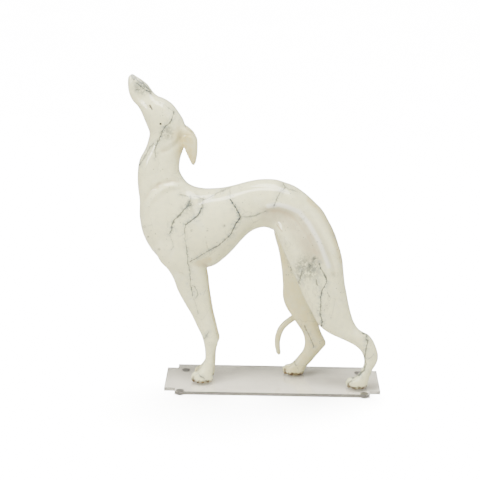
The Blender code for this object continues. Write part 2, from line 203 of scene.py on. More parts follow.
# crest, underside, half width, distance from the middle, squareness
headNeckAndTrunk = {
    "nose": ((-243, 534.5), (-250, 528.5), 5, 0, 2.2),
    "nostril": ((-237, 530.5), (-250.4, 518.5), 8, 0, 2.2),
    "lip": ((-228, 525), (-249.6, 507), 9.5, 0, 2.3),
    "muzzle": ((-217.5, 517), (-246.5, 496.5), 11, 0, 2.3),
    "bridge": ((-208.8, 505.2), (-241, 487), 13, 0, 2.3),
    "stop": ((-201.4, 497.6), (-233.5, 479.5), 17, 0, 2.3),
    "brow": ((-190, 493.1), (-227.5, 469), 21, 0, 2.3),
    "skull": ((-176.2, 484.2), (-222.5, 457), 23.5, 0, 2.3),
    "ears": ((-164.6, 469.6), (-218, 446), 24, 0, 2.3),
    "nape": ((-155.2, 453.4), (-214, 434), 23, 0, 2.3),
    "throat": ((-152.5, 438), (-216, 423), 22.5, 0, 2.4),
    "upper neck": ((-154.5, 416), (-220.8, 408), 22.5, 0, 2.5),
    "mid neck": ((-162, 390), (-231.5, 386), 23.5, 0, 2.6),
    "low neck": ((-162.5, 368), (-234.5, 357), 25.5, 0, 2.6),
    "neck root": ((-156, 356), (-233.5, 338), 27.5, 0, 2.5),
    "collar": ((-149, 348), (-231, 318), 30.5, 0, 2.4),
    "breast": ((-137, 342), (-231, 289), 34.5, 0, 2.3),
    "shoulder": ((-124, 339.5), (-224.5, 258), 38.5, 0, 2.3),
    "point of shoulder": ((-111, 339.5), (-201, 220), 41.5, 0, 2.2),
    "keel": ((-98, 340.5), (-172, 200), 42.5, 0, 2.1),
    "elbows": ((-87, 342), (-143, 198), 42.5, 0, 2.1),
    "ribs": ((-76, 344.5), (-121, 200), 41.5, 0, 2.1),
    "back ribs": ((-65, 347.5), (-104, 205), 40, 0, 2.1),
    "last rib": ((-52, 351.5), (-87, 217.5), 37, 0, 2.1),
    "tuck": ((-38, 355), (-72, 232.5), 34, 0, 2.1),
    "loin": ((-25, 357), (-57, 250.5), 32, 0, 2.1),
    "waist": ((-12, 357.5), (-44, 264), 31, 0, 2.1),
    "flank": ((2, 356.5), (-30, 272), 31, 0, 2.1),
    "hips": ((15, 352.5), (-17, 274.5), 32, 0, 2.1),
    "croup": ((31, 347), (-2, 269), 33.5, 0, 2.1),
    "rump": ((49, 335.5), (15, 263), 34, 0, 2.1),
    "seat": ((67.5, 319), (33, 251), 33, 0, 2.1),
    "tail root": ((84, 302), (50, 236), 30, 0, 2.1),
    "buttock": ((94, 284), (66, 216), 25, 0, 2.1),
    "fork": ((103, 265), (80, 203), 18, 0, 2.0),
}

nearHindLeg = {
    "haunch": ((16, 325), (74, 303), 15, 12, 2.0),
    "hip joint": ((2, 304), (95, 274), 21, 17, 2.1),
    "top of thigh": ((-2, 282), (108, 252), 23.5, 21, 2.2),
    "thigh": ((10, 252), (115.5, 227), 23.5, 24, 2.2),
    "mid thigh": ((22, 226), (118.5, 204), 22.5, 25.5, 2.2),
    "lower thigh": ((33, 201), (121, 184), 21, 27, 2.2),
    "back of thigh": ((44, 176), (125, 165), 19.5, 28.5, 2.2),
    "above stifle": ((55, 152), (128.5, 148), 18, 29.5, 2.2),
    "stifle": ((67, 130), (133, 131), 16.5, 30.5, 2.2),
    "below stifle": ((79, 109.5), (138.5, 116), 15, 31, 2.2),
    "second thigh": ((94, 97.5), (145.5, 105.5), 13.5, 31.5, 2.1),
    "gaskin": ((111, 89.5), (154.5, 99), 12.5, 32, 2.1),
    "above hock": ((128, 82), (164, 94.5), 11.5, 32.5, 2.1),
    "hock front": ((141, 75), (172, 84.5), 10.5, 33, 2.2),
    "hock": ((151, 66), (178.5, 69.5), 10.5, 33, 2.3),
    "hock back": ((156.5, 54), (181.5, 55), 10.5, 33, 2.3),
    "below hock": ((157, 42), (178.5, 43), 10, 33.5, 2.2),
    "metatarsus": ((151, 28), (173, 34), 9.5, 34, 2.2),
    "pastern": ((142, 17.5), (168.5, 22.5), 10.5, 34, 2.2),
    "sole": ((134, 6), (165, 8), 12.5, 34, 2.2),
}

farHindLeg = {
    "haunch": ((16, 325), (74, 303), 15, 12, 2.0),
    "hip joint": ((0, 298), (94, 272), 21, 17, 2.1),
    "top of thigh": ((-3, 264), (104, 247), 23, 22, 2.2),
    "thigh": ((6.5, 230), (104, 225), 22, 25, 2.2),
    "mid thigh": ((12.5, 197), (98, 202), 20.5, 27, 2.2),
    "lower thigh": ((15.5, 167), (90, 177), 19, 28.5, 2.2),
    "above stifle": ((16.5, 141), (82, 151), 17.5, 29.5, 2.2),
    "stifle": ((22, 124), (77, 129), 16, 30.5, 2.2),
    "below stifle": ((32.5, 107.5), (76, 110), 14.5, 31, 2.2),
    "second thigh": ((42.5, 92), (80, 93.5), 13, 31.5, 2.1),
    "gaskin": ((51, 79), (84.5, 79), 12, 32, 2.1),
    "above hock": ((55.5, 66), (90, 67.5), 11, 32.5, 2.2),
    "hock": ((56, 54), (94, 57), 10.5, 32.5, 2.3),
    "below hock": ((53, 43.5), (86.5, 46), 10, 33, 2.2),
    "metatarsus": ((46, 33.5), (77, 34), 9.5, 33.5, 2.2),
    "low metatarsus": ((39.5, 25), (69, 23.5), 10, 34, 2.2),
    "pastern": ((32, 17), (61.5, 15), 11.5, 34, 2.2),
    "sole": ((27, 6), (57, 6), 12.5, 34, 2.2),
}

foreleg = {
    "shoulder": ((-207, 268), (-130, 272), 15, 21, 2.2),
    "upper arm": ((-204, 240), (-124, 243), 18, 22, 2.2),
    "elbow": ((-195, 215), (-119, 215), 17.5, 21, 2.2),
    "below elbow": ((-182, 202), (-116.5, 197), 15.5, 19.5, 2.2),
    "forearm": ((-173, 187), (-114, 180), 14, 18.5, 2.2),
    "mid forearm": ((-165, 165), (-112, 160), 12.5, 18, 2.2),
    "thin forearm": ((-152.5, 141), (-109, 139.5), 11.5, 17.5, 2.2),
    "above wrist": ((-141, 121), (-105.5, 118.5), 10.5, 17, 2.2),
    "wrist top": ((-130, 97.5), (-100.5, 97), 10, 16.5, 2.3),
    "wrist": ((-122.5, 81.5), (-97, 81), 10, 16.5, 2.3),
    "back of wrist": ((-119, 68), (-94.5, 71), 9.5, 16.5, 2.3),
    "metacarpus": ((-117, 53), (-99.5, 56), 8.5, 16.5, 2.3),
    "low metacarpus": ((-117.5, 39), (-101.5, 42), 8.5, 16.5, 2.2),
    "pastern": ((-122.5, 27), (-102, 30), 9.5, 16.5, 2.2),
    "paw": ((-130, 16), (-103, 18), 11.5, 16.5, 2.2),
    "sole": ((-132, 5), (-104, 6), 12, 16.5, 2.2),
}

ear = {
    "root": ((-176, 444), (-160, 453), 5.5, 10, 2.0),
    "fold": ((-165, 435), (-149.3, 444), 6, 12, 2.0),
    "turn": ((-159, 426), (-139.4, 434.5), 5.5, 13.5, 2.0),
    "flap": ((-156.5, 415.5), (-133.4, 422.5), 4.6, 14, 2.0),
    "mid flap": ((-152, 404), (-132.4, 408), 4.2, 14, 2.0),
    "low flap": ((-147.5, 394), (-133.2, 395.5), 3.8, 13.5, 2.0),
    "tip": ((-143, 385.5), (-135.6, 385.5), 3, 13, 2.0),
    "point": ((-140.8, 382), (-137.8, 382), 2, 13, 2.0),
}

tail = {       # place in the side view, distance from the middle, radius
    "root": (88, 280, 0, 10),
    "dock": (99.5, 250, 4, 9.5),
    "behind the seat": (108.5, 217, 9, 8),
    "behind the thigh": (112, 182, 20, 7),
    "turn": (102, 150, 38, 6.5),
    "across the thigh": (82, 125, 49, 6),
    "past the thigh": (56, 108, 52, 5.8),
    "hook": (32, 94.5, 52, 5.8),
    "hook bend": (15, 78, 50, 5.8),
    "hook end": (8.5, 56, 47, 5.4),
    "near the tip": (9.3, 43, 46, 4.8),
    "tip": (11, 34, 45.5, 4.0),
}

paws = {       # toe, heel, side of the body, distance from its middle
    "near fore": (-141.5, -103, -1, 16.5),
    "far fore": (-137, -101, 1, 16.5),
    "near hind": (126.5, 165, -1, 34),
    "far hind": (18, 57, 1, 34),
}

# carving: height, breadth and the points of a stroke in the side view
ridges = {
    "shoulder blade": (2.4, 4.2, ((-225, 280), (-218, 305), (-206, 328), (-191, 342), (-173, 348),
                                  (-154, 346), (-138, 338))),
    "haunch": (2.2, 4.5, ((-16, 317), (-5, 320), (4.5, 321), (17, 319), (37, 312), (52, 297),
                          (66, 278), (77, 256), (86, 234), (96, 209))),
    "second band": (1.0, 5, ((60, 319), (76, 303), (88, 282), (97, 261), (106, 234), (112, 206))),
    "cheek": (1.2, 5, ((-186, 466), (-173, 458), (-167, 443), (-170, 428), (-181, 417))),
    "wrist": (0.7, 5, ((-117, 82), (-106, 74), (-98, 72))),
    "brow": (0.5, 2.6, ((-201, 485), (-190, 479), (-179, 469))),
    "ear edge": (0.5, 2.4, ((-144, 430), (-141, 415), (-140, 400), (-139, 390))),
}
grooves = {
    "neck and shoulder": (1.8, 3.6, ((-234, 298), (-224, 321), (-211, 339), (-195, 352),
                                     (-175, 357), (-158, 354), (-145, 345))),
    "along the back": (1.4, 4, ((-127, 323), (-114, 329), (-94, 335), (-66, 343), (-43, 348),
                                (-23, 350), (2, 349))),
    "behind the haunch": (1.2, 4.5, ((47, 320), (62, 305), (73, 287), (85, 263), (94, 238),
                                     (102, 206))),
    "neck plane": (0.9, 3.5, ((-198, 402), (-199, 384), (-198, 362), (-196, 342))),
    "brow": (0.8, 2.0, ((-196, 490), (-186, 484), (-174, 472.5))),
    "mouth": (0.35, 1.8, ((-243, 508), (-233, 498), (-224, 487), (-214, 480))),
    "behind the jaw": (1.9, 5, ((-159, 434), (-164, 423), (-170, 417), (-177, 413), (-183, 409),
                                (-191, 407))),
    "armpit": (2.5, 8, ((-135, 214), (-122, 208), (-110, 204))),
    "ear fold": (0.9, 1.5, ((-155, 434), (-148, 434.5), (-143, 434), (-138.6, 431), (-135.6, 427))),
    "ear hollow": (1.0, 3.4, ((-152, 428), (-150.5, 415), (-147.5, 403), (-144, 392))),
}

# steps down from one side of a stroke to its right: depth, breadth of the hollow, points
steps = {
    "haunch": (3.6, 28, ((-22, 307), (-13, 311), (-4, 313.5), (6, 314), (17, 311.5), (32, 304),
                         (46, 290), (60, 272), (71, 251), (79, 231), (86, 213))),
}

# small pressed marks: place, half length and half height, lean in degrees, depth
presses = {
    "eye": ((-210, 480.7), 3.6, 1.5, -62, 1.1),
    "nostril": ((-243.5, 524), 2.2, 1.2, 60, 0.8),
}
pressesNear = {
    "cheek dimple": ((-194, 453.9), 1.3, 1.3, 0, 0.9),
}

fillets = {    # soft filling where limbs run into the body: place, radius, passes
    "armpit": (-128, 206, 24, 16),
    "breast": (-190, 222, 24, 20),
    "groin": (2, 268, 26, 22),
    "seat": (96, 262, 34, 40),
    "tail root": (93, 288, 26, 50),
    "fork": (66, 190, 30, 10),
    "ear root": (-156, 450, 9, 6),
    "haunch": (40, 310, 50, 20),
    "shoulder": (-160, 270, 55, 16),
}


def curveThrough(rows, spacing):
    # a smooth curve through rows of numbers that start with a place in the side view
    rows = np.array(rows, dtype=float)
    steps = np.linalg.norm(np.diff(rows[:, :2], axis=0), axis=1)
    along = np.concatenate([[0], np.cumsum(steps)])
    slopes = np.gradient(rows, along, axis=0)
    spots = np.linspace(0, along[-1], max(2, round(along[-1] / spacing)) + 1)
    span = np.clip(np.searchsorted(along, spots, side="right") - 1, 0, len(rows) - 2)
    length = (along[span + 1] - along[span])[:, None]
    t = (spots - along[span])[:, None] / length
    start = (1 + 2 * t) * (1 - t) ** 2 * rows[span] + t * (1 - t) ** 2 * length * slopes[span]
    end = t * t * (3 - 2 * t) * rows[span + 1] - t * t * (1 - t) * length * slopes[span + 1]
    return start + end


def meshFrom(form, name):
    mesh = bpy.data.meshes.new(name)
    form.to_mesh(mesh)
    form.free()
    return mesh


def placed(name, data):
    item = bpy.data.objects.new(name, data)
    bpy.context.scene.collection.objects.link(item)
    return item


def fullTurn(count):
    return np.arange(count) * 2 * math.pi / count


def skinRings(form, rings):
    loops = [[form.verts.new(point) for point in ring] for ring in rings]
    for lower, upper in zip(loops, loops[1:]):
        for i in range(len(lower)):
            j = (i + 1) % len(lower)
            form.faces.new((lower[i], lower[j], upper[j], upper[i]))
    form.faces.new(reversed(loops[0]))
    form.faces.new(loops[-1])


def loftLimb(form, sections, side=1, footBack=0):
    highest = max(crest[1] for crest, *_ in sections.values())
    rows = []
    for crest, under, half, aside, square in sections.values():
        middle = ((crest[0] + under[0]) / 2, (crest[1] + under[1]) / 2)
        reach = ((crest[0] - under[0]) / 2, (crest[1] - under[1]) / 2)
        rows.append((*middle, *reach, half, aside, square))
    turn = fullTurn(greyhoundSettings["ringPoints"])
    smooth = curveThrough(rows, greyhoundSettings["ringSpacing"])
    rings = []
    for x, z, reachX, reachZ, half, aside, square in smooth:
        up = np.sign(np.cos(turn)) * np.abs(np.cos(turn)) ** (2 / square)
        out = np.sign(np.sin(turn)) * np.abs(np.sin(turn)) ** (2 / square)
        x += footBack * (1 - z / highest)
        rings.append(np.column_stack([x + reachX * up, side * aside + half * out, z + reachZ * up]))
    skinRings(form, rings)


def tailTube(form):
    points = curveThrough(list(tail.values()), greyhoundSettings["ringSpacing"])
    spine = np.column_stack([points[:, 0], points[:, 2], points[:, 1]])
    heading = np.gradient(spine, axis=0)
    turn = fullTurn(greyhoundSettings["ringPoints"])
    rings = []
    for place, ahead, radius in zip(spine, heading, points[:, 3]):
        facing = Vector(ahead).to_track_quat("Z", "Y").to_matrix()
        ring = np.column_stack([np.cos(turn), np.sin(turn), np.zeros(len(turn))]) * radius
        rings.append(place + ring @ np.array(facing).T)
    skinRings(form, rings)
    end = points[-1]
    ball(form, (end[0], end[2], end[1]), (end[3], end[3], end[3]))


def ball(form, place, radii, lean=0.0):
    size = Matrix.Diagonal((*radii, 1))
    spot = Matrix.Translation(place) @ Matrix.Rotation(lean, 4, "Y") @ size
    across, upward = greyhoundSettings["ballSegments"]
    bmesh.ops.create_uvsphere(form, u_segments=across, v_segments=upward, radius=1, matrix=spot)


def pawOf(form, toe, heel, side, aside):
    s = greyhoundSettings
    long = heel - toe
    middle = side * aside
    ball(form, (toe + s["pawMiddle"] * long, middle, s["pawHeight"]),
         (s["pawHalf"] * long, *s["pawSize"]))
    for number in range(s["toes"]):
        offset = number - (s["toes"] - 1) / 2
        back = s["toeStagger"] * (abs(offset) - 0.5)
        place = (toe + s["toeLength"] / 2 + back, middle + offset * s["toePitch"], s["toeMiddle"])
        size = (s["toeLength"] / 2, s["toeWidth"] / 2, s["toeHeight"] / 2)
        ball(form, place, size, math.radians(s["toeLean"]))


def castForm():
    form = bmesh.new()
    for toe, heel, side, aside in paws.values():
        pawOf(form, toe, heel, side, aside)
    tailTube(form)
    loftLimb(form, headNeckAndTrunk)
    loftLimb(form, nearHindLeg, -1)
    loftLimb(form, farHindLeg, 1)
    loftLimb(form, foreleg, -1)
    loftLimb(form, foreleg, 1, greyhoundSettings["farForelegBack"])
    loftLimb(form, ear, -1)
    loftLimb(form, ear, 1)
    bmesh.ops.recalc_face_normals(form, faces=form.faces)
    spot = Matrix.Translation((plateMiddle, greyhoundSettings["across"] * mm, soleLevel))
    form.transform(spot @ Matrix.Scale(mm, 4))
    return meshFrom(form, "greyhoundForm")


def appliedMesh(item):
    shaped = item.evaluated_get(bpy.context.evaluated_depsgraph_get())
    mesh = bpy.data.meshes.new_from_object(shaped)
    item.modifiers.clear()
    item.data = mesh
    return mesh


def fetched(parts, key, width, kind=np.float32):
    flat = np.empty(len(parts) * width, dtype=kind)
    parts.foreach_get(key, flat)
    return flat.reshape(-1, width)


def placesOf(mesh):
    return fetched(mesh.vertices, "co", 3).astype(float)


def normalsOf(mesh):
    return fetched(mesh.vertex_normals, "vector", 3).astype(float)


def edgesOf(mesh):
    return fetched(mesh.edges, "vertices", 2, np.int32)


def putPlaces(mesh, places):
    mesh.vertices.foreach_set("co", places.astype(np.float32).ravel())
    mesh.update()


def writeAttribute(mesh, name, values):
    attribute = mesh.attributes.new(name, "FLOAT", "POINT")
    attribute.data.foreach_set("value", values.astype(np.float32))


def towardNeighbours(places, edges, count):
    total = np.zeros_like(places)
    for first, second in ((0, 1), (1, 0)):
        for axis in range(places.shape[1]):
            total[:, axis] += np.bincount(
                edges[:, first], weights=places[edges[:, second], axis], minlength=len(places)
            )
    return total / count[:, None] - places


def relax(mesh, passes, weight=None, keepVolume=True):
    s = greyhoundSettings
    places = placesOf(mesh)
    edges = edgesOf(mesh)
    count = np.bincount(edges.ravel(), minlength=len(places))
    share = (np.ones(len(places)) if weight is None else weight)[:, None]
    for _ in range(passes):
        places += s["softenPull"] * share * towardNeighbours(places, edges, count)
        if keepVolume:
            places -= s["softenPush"] * share * towardNeighbours(places, edges, count)
    putPlaces(mesh, places)


def sideView(places):
    return (places[:, [0, 2]] - (plateMiddle, soleLevel)) / mm


def distanceTo(stroke, places):
    stroke = curveThrough(stroke, greyhoundSettings["ringSpacing"])
    best = np.full(len(places), np.inf)
    for start, end in zip(stroke, stroke[1:]):
        run = end - start
        share = np.clip((places - start) @ run / (run @ run), 0, 1)
        best = np.minimum(best, np.linalg.norm(places - start - share[:, None] * run, axis=1))
    return best


def besideStroke(stroke, places):
    # the distance to the right of a stroke, and how far along it lies within the stroke's ends
    stroke = curveThrough(stroke, greyhoundSettings["ringSpacing"])
    best = np.full(len(places), np.inf)
    side = np.zeros(len(places))
    along = np.zeros(len(places))
    for number, (start, end) in enumerate(zip(stroke, stroke[1:])):
        run = end - start
        fromStart = places - start
        share = np.clip(fromStart @ run / (run @ run), 0, 1)
        away = np.linalg.norm(fromStart - share[:, None] * run, axis=1)
        nearer = away < best
        best[nearer] = away[nearer]
        side[nearer] = (fromStart[:, 0] * run[1] - fromStart[:, 1] * run[0])[nearer]
        along[nearer] = (number + share[nearer]) / (len(stroke) - 1)
    return best * np.sign(side), along


def carve(mesh):
    s = greyhoundSettings
    places = placesOf(mesh)
    normals = normalsOf(mesh)
    flat = sideView(places)
    facing = np.clip(np.abs(normals[:, 1]) * s["carveGain"] - s["carveOff"], 0, 1)
    lift = np.zeros(len(places))
    for strokes, sign in ((ridges, 1), (grooves, -1)):
        for height, breadth, points in strokes.values():
            lift += sign * height * np.exp(-((distanceTo(points, flat) / breadth) ** 2))
    for depth, breadth, points in steps.values():
        right, along = besideStroke(points, flat)
        edge = np.clip((right + s["stepLead"]) / s["stepEdge"], 0, 1)
        ends = np.clip(along / s["stepStart"], 0, 1) * np.clip((1 - along) / s["stepEnd"], 0, 1)
        fall = np.exp(-((np.clip(right, 0, None) / breadth) ** 2))
        lift -= depth * edge * edge * (3 - 2 * edge) * fall * ends
    putPlaces(mesh, places + normals * (lift * facing * mm)[:, None])


def partToes(mesh):
    # creases between the toes, from the front of each paw to its knuckles
    s = greyhoundSettings
    places = placesOf(mesh)
    flat = sideView(places)
    across = places[:, 1] / mm - s["across"]
    lift = np.zeros(len(places))
    for toe, heel, side, aside in paws.values():
        onPaw = np.abs(across - side * aside) < s["pawReach"]
        along = (flat[:, 0] - toe) / s["creaseLength"]
        fade = np.clip(1.2 - along, 0, 1) * np.clip(along + 0.3, 0, 1) ** 0.3
        fade *= np.clip((s["toeHeight"] + 2 - flat[:, 1]) / 5, 0, 1) * onPaw
        for number in range(s["toes"] - 1):
            offset = number - (s["toes"] - 2) / 2
            away = (across - side * aside - offset * s["toePitch"]) / s["creaseWidth"]
            lift -= s["creaseDepth"] * fade * np.exp(-away * away)
    putPlaces(mesh, places + normalsOf(mesh) * (lift * mm)[:, None])
    writeAttribute(mesh, "betweenToes", -lift / s["creaseDepth"])


def markInsides(mesh):
    # the inner sides of the legs, where the painted shade between the legs is strongest
    s = greyhoundSettings
    places = placesOf(mesh)
    across = places[:, 1] / mm - s["across"]
    facingIn = np.clip(-normalsOf(mesh)[:, 1] * np.sign(across) * 2, 0, 1)
    low = np.clip((s["insideTop"][0] - sideView(places)[:, 1]) / s["insideTop"][1], 0, 1)
    away = np.clip((np.abs(across) - s["insideFrom"][0]) / s["insideFrom"][1], 0, 1)
    writeAttribute(mesh, "inside", facingIn * low * away)


def pressMarks(mesh):
    places = placesOf(mesh)
    normals = normalsOf(mesh)
    flat = sideView(places)
    lift = np.zeros(len(places))
    sides = np.abs(normals[:, 1]) > greyhoundSettings["pressFacing"]
    near = normals[:, 1] < 0
    for marks, where in ((presses, sides), (pressesNear, near)):
        for (x, z), long, high, lean, depth in marks.values():
            c, s = math.cos(math.radians(lean)), math.sin(math.radians(lean))
            away = flat - (x, z)
            u = (away[:, 0] * c + away[:, 1] * s) / long
            v = (away[:, 1] * c - away[:, 0] * s) / high
            lift -= where * depth * np.exp(-(u * u + v * v))
    putPlaces(mesh, places + normals * (lift * mm)[:, None])


def finerAround(mesh, spots):
    for x, z, radius in spots:
        inside = np.linalg.norm(sideView(placesOf(mesh)) - (x, z), axis=1) < radius
        chosen = np.flatnonzero(inside[edgesOf(mesh)].all(axis=1))
        form = bmesh.new()
        form.from_mesh(mesh)
        form.edges.ensure_lookup_table()
        edges = [form.edges[i] for i in chosen]
        bmesh.ops.subdivide_edges(form, edges=edges, cuts=1, use_grid_fill=True)
        bmesh.ops.triangulate(form, faces=[f for f in form.faces if len(f.verts) > 4])
        form.to_mesh(mesh)
        form.free()


def fillSoftly(mesh):
    flat = sideView(placesOf(mesh))
    for x, z, radius, passes in fillets.values():
        away = np.linalg.norm(flat - (x, z), axis=1) / radius
        relax(mesh, passes, np.clip(1 - away * away, 0, 1), keepVolume=False)


def flatSoles(mesh):
    form = bmesh.new()
    form.from_mesh(mesh)
    cut = bmesh.ops.bisect_plane(
        form, geom=form.verts[:] + form.edges[:] + form.faces[:], dist=1e-6,
        plane_co=(0, 0, soleLevel), plane_no=(0, 0, 1), clear_inner=True,
    )
    rim = [part for part in cut["geom_cut"] if isinstance(part, bmesh.types.BMEdge)]
    bmesh.ops.holes_fill(form, edges=rim, sides=0)
    bmesh.ops.recalc_face_normals(form, faces=form.faces)
    form.to_mesh(mesh)
    form.free()


def markHollows(mesh, name, passes):
    # how deep each point lies below its surroundings, in mm
    s = greyhoundSettings
    places = placesOf(mesh)
    edges = edgesOf(mesh)
    count = np.bincount(edges.ravel(), minlength=len(places))
    smooth = places.copy()
    for _ in range(passes):
        smooth += s["hollowPull"] * towardNeighbours(smooth, edges, count)
    depth = ((smooth - places) * normalsOf(mesh)).sum(axis=1)[:, None] / mm
    for _ in range(s["hollowSoftening"]):
        depth += s["softenPull"] * towardNeighbours(depth, edges, count)
    writeAttribute(mesh, name, depth[:, 0])


veinSettings = {
    "colour": (0.045, 0.058, 0.062),
    "smudgeColour": (0.25, 0.29, 0.29),
    "warp": 1.1,             # mm, slow bends
    "fineWarp": 0.8,         # mm, quick jags
    "wider": 1.6,            # times the widths below
    "edge": 8,               # mm over which the near side's veins give way to the far side's
    "farShift": (13, 0, -9),     # mm, the far side's veins against the near side's
    "core": 0.2,             # share of the width that is fully dark
    "smudgeReach": 9,        # times the width
}

# width in mm, strength and the points of each vein in the side view
veins = {
    "rib": (1.5, 1.0, ((-76.6, 329), (-65.6, 314), (-58.7, 299), (-63, 291.5), (-69.7, 280.7),
                       (-74, 270))),
    "low rib": (1.0, 0.8, ((-74, 270), (-84.6, 259), (-98, 248), (-111.5, 240), (-125, 231),
                           (-141.8, 220.4))),
    "rib stub": (1.0, 0.45, ((-77.7, 341), (-76.6, 329))),
    "rib branch": (1.0, 0.6, ((-58.7, 299), (-47.4, 298), (-34, 301.6), (-16, 308.6))),
    "shoulder": (1.5, 0.95, ((-121.6, 324), (-123.5, 315), (-130, 302), (-140.5, 294.5),
                             (-150.8, 285))),
    "low shoulder": (0.9, 0.7, ((-150.8, 285), (-153, 277), (-151.5, 260), (-148, 240),
                                (-146.3, 221), (-143.3, 199))),
    "fore": (1.2, 0.9, ((-143.3, 199), (-142.3, 178), (-138.5, 158))),
    "fore loop": (0.9, 0.6, ((-142.3, 178), (-135.5, 176), (-128.6, 160), (-134.7, 152))),
    "fore faint": (0.8, 0.4, ((-138.5, 158), (-133.5, 143), (-128.5, 126))),
    "chest": (1.3, 0.85, ((-142.8, 331.5), (-144, 324.7), (-145.4, 317.7), (-154, 310.5),
                          (-161.6, 300.7), (-170.5, 292), (-173.5, 283), (-172.8, 275),
                          (-177.4, 270))),
    "chest top": (1.0, 0.6, ((-160.8, 334.6), (-142.8, 331.5), (-134, 332.5), (-120.3, 325.6))),
    "chest faint": (0.8, 0.35, ((-177.4, 270), (-174, 258), (-170.4, 247), (-175, 241.5))),
    "back": (1.0, 0.6, ((-120.3, 325.6), (-109.7, 329.6), (-99.4, 334.6), (-87.5, 339.7),
                        (-76, 343.4))),
    "cheek": (1.2, 0.85, ((-172.5, 472.4), (-174.2, 466), (-178.3, 457), (-185, 449.4),
                          (-191.7, 440.3), (-194.6, 432.5), (-198, 425), (-202.4, 415.3))),
    "throat left": (1.2, 0.7, ((-202.4, 415.3), (-206.4, 419), (-214.3, 407.8), (-230, 381))),
    "throat right": (1.3, 0.7, ((-202.4, 415.3), (-204.4, 408.7), (-201.7, 397))),
    "muzzle upper": (1.6, 0.95, ((-234.9, 519.7), (-229.2, 516), (-222.7, 510.3))),
    "muzzle edge": (1.3, 0.9, ((-236, 527), (-231, 523), (-224, 518.5), (-217, 512), (-211, 506))),
    "muzzle dash": (1.2, 0.8, ((-235.1, 509.4), (-228.4, 509))),
    "muzzle lower": (1.5, 0.95, ((-223.7, 520), (-222.7, 510.3), (-216.5, 506.6), (-210, 505.5))),
    "brow": (0.7, 0.4, ((-195, 489.5), (-185.5, 484), (-173, 472.5))),
    "croup": (1.1, 0.75, ((12.6, 351), (16, 347), (7.5, 340), (0.8, 327.3), (-2.4, 320))),
    "croup branch": (0.9, 0.5, ((16, 347), (26, 343.6), (37, 339))),
    "thigh spots": (1.2, 0.6, ((67.9, 231), (59.5, 219), (52, 211.5), (46, 203.5), (43, 186))),
    "thigh smear": (1.5, 0.8, ((47.5, 209), (45, 198), (42.5, 186))),
    "thigh hook": (1.0, 0.6, ((75, 223), (69, 214), (66, 209))),
    "thigh": (1.2, 0.95, ((75, 223), (81.2, 209), (88.4, 198), (88.6, 191), (81.9, 180),
                         (79.8, 164), (79.7, 136), (83.5, 121), (82.3, 108))),
    "thigh short": (1.4, 0.85, ((71.2, 196), (73, 187))),
    "thigh side": (0.9, 0.5, ((90.7, 173), (94.5, 166))),
    "hock": (1.3, 0.8, ((153.6, 99.4), (161, 96), (157, 92.7), (162.2, 87), (160.3, 77),
                        (158.5, 65), (157.8, 53), (160, 43.6), (156.7, 33), (150, 25.8),
                        (141, 20), (134.3, 11.4))),
    "hock branch": (0.9, 0.5, ((172.8, 63), (163, 53))),
    "far hock": (1.1, 0.7, ((67.3, 84), (75, 68.5), (80.4, 56), (84.4, 45))),
    "far paw": (1.1, 0.6, ((41.2, 25.5), (49.9, 18.5), (54.5, 10.4))),
    "wrist": (1.0, 0.6, ((-109.9, 92), (-119, 81.7))),
    "paw": (1.0, 0.6, ((-127, 15.7), (-121.5, 11), (-116.3, 8.3))),
}

# blots: place in the side view, radius in mm, strength
blots = {
    "shoulder blot": (-145, 318, 6, 0.85),
    "cheek blot": (-192.5, 439, 3.8, 0.8),
    "throat blot": (-198, 425.5, 2.8, 0.85),
    "jaw smudge": (-183, 441.5, 4.5, 0.5),
    "low jaw smudge": (-186, 431, 5, 0.35),
    "rib blot": (-58.7, 299, 2.6, 0.7),
    "muzzle blot": (-211, 505.5, 3.4, 0.85),
    "lip smudge": (-230, 509, 4, 0.5),
    "nose smudge": (-232, 520, 5, 0.6),
    "bridge smudge": (-221, 514, 6, 0.6),
    "first thigh blot": (67.9, 231, 4.5, 0.75),
    "second thigh blot": (59.5, 219, 4.5, 0.85),
    "third thigh blot": (50, 210, 5, 0.7),
    "fourth thigh blot": (44, 202, 5, 0.6),
    "fifth thigh blot": (46, 221, 3, 0.5),
    "thigh back blot": (104, 204, 4, 0.35),
    "chest speck": (-215.4, 259.3, 1.8, 0.8),
    "breast speck": (-220.8, 276.2, 2.2, 0.7),
    "keel speck": (-194.9, 240.6, 2.0, 0.7),
    "rib specks": (-140.3, 276.2, 2.2, 0.7),
    "row of specks": (-114.4, 279, 2.2, 0.6),
    "last speck": (-85.5, 284.4, 2.4, 0.7),
    "thigh cloud": (55, 214, 17, 0.7),
    "cheek cloud": (-184, 439, 10, 0.6),
    "muzzle cloud": (-226, 514, 11, 0.65),
    "shoulder cloud": (-148, 313, 10, 0.4),
    "croup cloud": (10, 344, 8, 0.35),
    "wrist blot": (-114, 86, 3, 0.4),
    "hock blot": (158, 95, 4, 0.6),
}


def flatPlace(paint):
    # the place in the side view, in grid millimetres, and the distance from the middle plane
    place = paint.add("ShaderNodeTexCoord", out=3)
    fromOrigin = paint.vector("SUBTRACT", place, (plateMiddle, 0, soleLevel))
    flat = paint.vector("MULTIPLY", fromOrigin, (1000, 0, 1000))
    across = paint.add("ShaderNodeSeparateXYZ", {}, {0: place}, 1) * 1000
    return place, flat, across


def nearestOnLine(paint, flat, points):
    nearest = None
    for (ax, az), (bx, bz) in zip(points, points[1:]):
        run = Vector((bx - ax, 0, bz - az))
        fromStart = paint.vector("SUBTRACT", flat, (ax, 0, az))
        share = paint.vector("DOT_PRODUCT", fromStart, tuple(run / run.length_squared), 1).kept()
        away = paint.vector("DISTANCE", fromStart, paint.scaled(tuple(run), share), 1)
        nearest = away if nearest is None else nearest.smaller(away)
    return nearest


